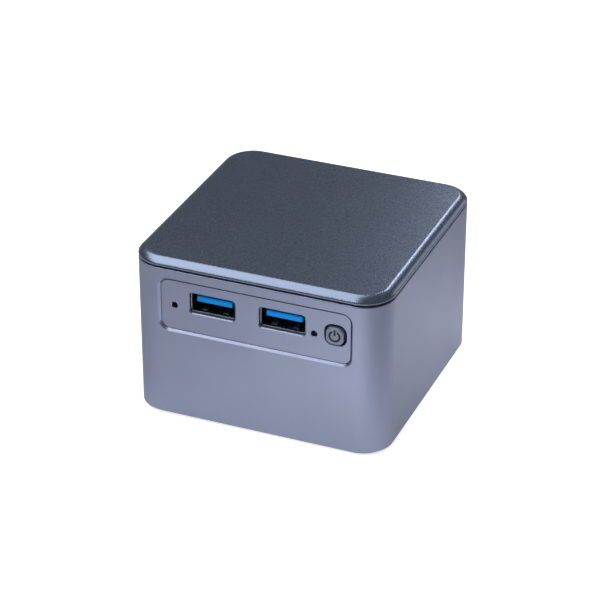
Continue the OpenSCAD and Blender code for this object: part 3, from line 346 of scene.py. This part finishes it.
def softened(node, width):
    """Stands in for a CAD node, its sharp edges rounded as moulding or tumbling leaves them."""
    source = frame["nodes"][node]
    weld = 0.002 * MM
    flat = math.radians(0.5)
    bm = bmesh.new()
    bm.from_mesh(source.data)
    bmesh.ops.remove_doubles(bm, verts=bm.verts, dist=weld)
    bmesh.ops.dissolve_limit(bm, angle_limit=flat, verts=bm.verts, edges=bm.edges)
    mesh = bpy.data.meshes.new(node + "_soft")
    bm.to_mesh(mesh)
    bm.free()
    piece = add_piece(node + "_soft", mesh, source["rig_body"], slot_of[node], [node])
    round_edges(piece, width)


# Width of the rounding of each softened node's edges, in millimetres
ROUNDING = {
    "outer_shell": 0.15, "top_lid": 0.15, "front_io_plate": 0.12, "rear_io_plate": 0.12,
    "bottom_cover": 0.15, "rubber_feet": 0.2, "bottom_screws": 0.08, "power_button": 0.12,
    "usb_shell_left": 0.06, "usb_shell_right": 0.06, "usb_tongue_left": 0.3,
    "usb_tongue_right": 0.3, "video_shell_1": 0.06, "video_shell_2": 0.06,
    "video_tongue_1": 0.08, "video_tongue_2": 0.08, "power_inlet": 0.1, "inlet_pin": 0.15,
    "sound_socket": 0.1,
}

for node, obj in frame["nodes"].items():
    if node in ROUNDING:
        softened(node, ROUNDING[node] * MM)
    else:
        obj.data.materials[0] = made[slot_of[node]]


def leaf_springs(name, socket):
    """The two leaf springs in a front socket's floor, which grip a plug's metal shell."""
    half_w = 0.8
    thick = 0.18
    from_middle = 3
    shell_wall = 0.3
    # Depth behind the mouth, and rise of the upper face over the socket's floor
    path = [(1.3, 0.06), (2.1, 0.3), (2.8, 0.68), (3.2, 0.8), (3.7, 0.76), (4.4, 0.52), (6.4, 0.02)]
    low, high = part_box(socket)
    middle = (low[0] + high[0]) / 2 / MM
    floor_z = low[2] / MM + shell_wall
    mouth_y = low[1] / MM
    bm = bmesh.new()
    for side in (-1, 1):
        x = middle + side * from_middle
        rings = []
        for depth, rise in path:
            y = mouth_y + depth
            z = floor_z + rise
            corners = [(x - half_w, y, z), (x + half_w, y, z), (x + half_w, y, z - thick),
                       (x - half_w, y, z - thick)]
            rings.append([bm.verts.new([c * MM for c in corner]) for corner in corners])
        for near, far in zip(rings, rings[1:]):
            for i in range(4):
                j = (i + 1) % 4
                bm.faces.new((near[i], far[i], far[j], near[j]))
        bm.faces.new(rings[0])
        bm.faces.new(reversed(rings[-1]))
    bmesh.ops.recalc_face_normals(bm, faces=bm.faces)
    mesh = bpy.data.meshes.new(name)
    bm.to_mesh(mesh)
    bm.free()
    piece = add_piece(name, mesh, "housing", "socket_steel")
    round_edges(piece, 0.04 * MM, 40)


leaf_springs("usb_springs_left", "usb_shell_left")
leaf_springs("usb_springs_right", "usb_shell_right")


# ---------------------------------------------------- camera, floor and lights

def camera():
    """A long lens, to the right of the front and above."""
    turn = math.radians(22.32)
    rise = math.radians(29.29)
    distance = 650.9 * MM
    aim_height = 23.4 * MM
    aim_left = 1.68 * MM
    aim_down = 0.64 * MM
    back = Vector((math.sin(turn) * math.cos(rise), -math.cos(turn) * math.cos(rise),
                   math.sin(rise)))
    right = Vector((math.cos(turn), math.sin(turn), 0))
    up = back.cross(right)
    data = bpy.data.cameras.new("camera")
    data.lens = 142.33
    data.sensor_width = 36
    data.clip_start = 0.05
    obj = bpy.data.objects.new("camera", data)
    target = Vector((0, 0, aim_height)) - right * aim_left - up * aim_down
    place = target + back * distance
    obj.matrix_world = Matrix.Translation(place) @ Matrix((right, up, back)).transposed().to_4x4()
    bpy.context.scene.collection.objects.link(obj)
    bpy.context.scene.camera = obj


def floor_material():
    """Pale floor that the camera sees as white, and that glows faintly round the part's foot.

    The camera doesn't see the glow, which only lights the part and shows in reflections. It fades
    out over reach, is weak on the left, rises along the front, and is strongest beside the right
    wall, toward the back.
    """
    t = Tree("floor")
    grey = 0.82
    seen_strength = 0.75
    foot_strength = 0.32
    reach = 50 * MM
    x, y = t.split()[:2]
    past_x, past_y = (t.calc("MAXIMUM", t.calc("SUBTRACT", t.calc("ABSOLUTE", axis), HALF_W), 0)
                      for axis in (x, y))
    away = t.calc("SQRT", t.calc("ADD", t.calc("MULTIPLY", past_x, past_x),
                                 t.calc("MULTIPLY", past_y, past_y)))
    along_front = t.span(x, 0.1, 1, -55 * MM, -20 * MM)
    beside_wall = t.calc("MULTIPLY", t.span(x, 0, 0.8, 20 * MM, 45 * MM),
                         t.span(y, 0.1, 1, -30 * MM, 10 * MM))
    glow = t.calc("MULTIPLY", t.span(away, foot_strength, 0, 0, reach),
                  t.calc("ADD", along_front, beside_wall))
    to_camera = t.add("ShaderNodeLightPath").outputs["Is Camera Ray"]
    t.surface(Base_Color=(grey, grey, grey, 1), Roughness=0.9, Specular_IOR_Level=0.1,
              Emission_Color=(1, 1, 1, 1),
              Emission_Strength=t.mix(to_camera, glow, seen_strength, "FLOAT"))
    return t.material


def floor():
    """A square of floor under the part, far larger than it."""
    half = 4
    corners = [(-half, -half, 0), (half, -half, 0), (half, half, 0), (-half, half, 0)]
    mesh = bpy.data.meshes.new("floor")
    mesh.from_pydata(corners, [], [(0, 1, 2, 3)])
    obj = bpy.data.objects.new("floor", mesh)
    bpy.context.scene.collection.objects.link(obj)
    mesh.materials.append(floor_material())


def surroundings():
    """A dim, faintly blue room, which the camera itself sees as plain white."""
    world = bpy.data.worlds.new("studio")
    bpy.context.scene.world = world
    world.use_nodes = True
    nodes = world.node_tree.nodes
    links = world.node_tree.links
    room = nodes["Background"]
    room.inputs["Color"].default_value = (0.9, 0.94, 1, 1)
    room.inputs["Strength"].default_value = 0.22
    white = nodes.new("ShaderNodeBackground")
    white.inputs["Color"].default_value = (1, 1, 1, 1)
    path = nodes.new("ShaderNodeLightPath")
    mix = nodes.new("ShaderNodeMixShader")
    links.new(path.outputs["Is Camera Ray"], mix.inputs[0])
    links.new(room.outputs[0], mix.inputs[1])
    links.new(white.outputs[0], mix.inputs[2])
    links.new(mix.outputs[0], nodes["World Output"].inputs["Surface"])


def panel(name, place, width, height, watts, aim=None, mirrored=True):
    """A rectangular lamp, facing straight down or towards aim. Mirrored says if reflections show it."""
    lamp = bpy.data.lights.new(name, "AREA")
    lamp.shape = "RECTANGLE"
    lamp.size = width
    lamp.size_y = height
    lamp.energy = watts
    obj = bpy.data.objects.new(name, lamp)
    obj.location = place
    if aim is not None:
        obj.rotation_euler = (Vector(place) - Vector(aim)).to_track_quat("Z", "Y").to_euler()
    obj.visible_camera = False
    obj.visible_glossy = mirrored
    bpy.context.scene.collection.objects.link(obj)


camera()
floor()
surroundings()

MIDDLE = (0, 0, 0.03)
panel("overhead", (-0.26, -0.16, 0.5), width=0.4, height=0.92, watts=2.6)
panel("back_strip", (-0.015, 0.42, 0.335), width=0.12, height=0.13, watts=0.24, aim=MIDDLE)
panel("back_right", (0.32, 0.45, 0.19), width=0.24, height=0.18, watts=0.12, aim=MIDDLE)
panel("front_pool", (0.024, -0.1, 0.055), width=0.04, height=0.03, watts=0.036, mirrored=False)
panel("side_pool", (0.08, 0.05, 0.07), width=0.03, height=0.06, watts=0.026, mirrored=False)

bpy.context.scene.view_settings.view_transform = "Standard"
